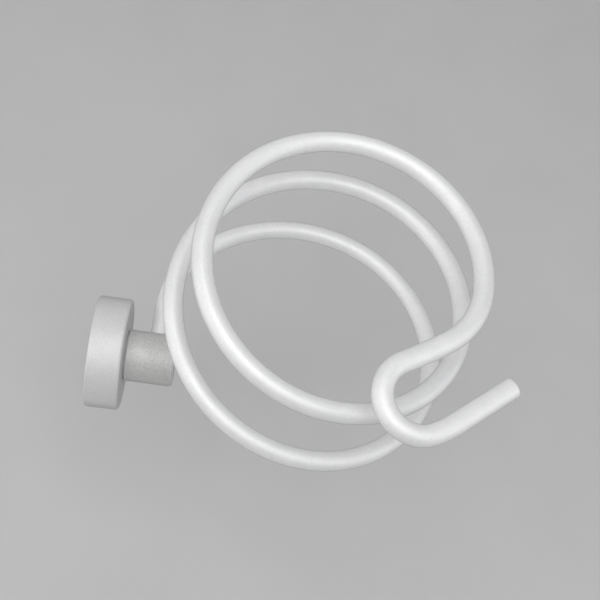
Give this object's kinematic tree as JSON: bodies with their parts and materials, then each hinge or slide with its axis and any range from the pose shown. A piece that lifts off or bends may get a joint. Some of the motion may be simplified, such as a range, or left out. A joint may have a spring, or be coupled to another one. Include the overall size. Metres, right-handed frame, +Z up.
{
  "type": "hair dryer holder",
  "caption": "Wall-mounted hair dryer holder: a round wall rosette and short post carry a spiral of round rod that cradles the dryer, with a cord hook at its free end.",
  "frame": {"origin": "centre of the rosette's wall face, on the axis of the post", "axes": "+Y into the wall (the wall is the plane y = 0 and the holder stands out along -Y), +Z up, and the coil's axis leans 8 degrees from +Z towards -Y, +X to the right for someone facing the wall"},
  "size_m": [0.1336, 0.1592, 0.1215],
  "materials": {
    "rod": "satin anodised",
    "post": "fine blasted and anodised",
    "cover": "matte anodised",
    "bracket": "zinc plated",
    "fastener": "stainless steel"
  },
  "bodies": {
    "wall_fixing": {"wall_bracket": "bracket"},
    "cover": {"rosette_cover": "cover", "post_flat_washer": "fastener"},
    "cover_screw": {"cover_grub_screw": "fastener"},
    "holder": {"post": "post", "spiral_rod": "rod", "rod_grub_screw": "fastener", "post_screw": "fastener", "post_spring_washer": "fastener"}
  },
  "joints": [
    {"name": "cover_slide", "type": "slide", "parent": "wall_fixing", "child": "cover", "axis": [0, -1, 0], "range_m": [0, 0.015]},
    {"name": "cover_screw_travel", "type": "slide", "parent": "cover", "child": "cover_screw", "axis": [0, 0, -1], "range_m": [0, 0.0025]},
    {"name": "post_swivel", "type": "hinge", "parent": "cover", "child": "holder", "pos_m": [0, 0, 0], "axis": [0, -1, 0], "continuous": true}
  ]
}
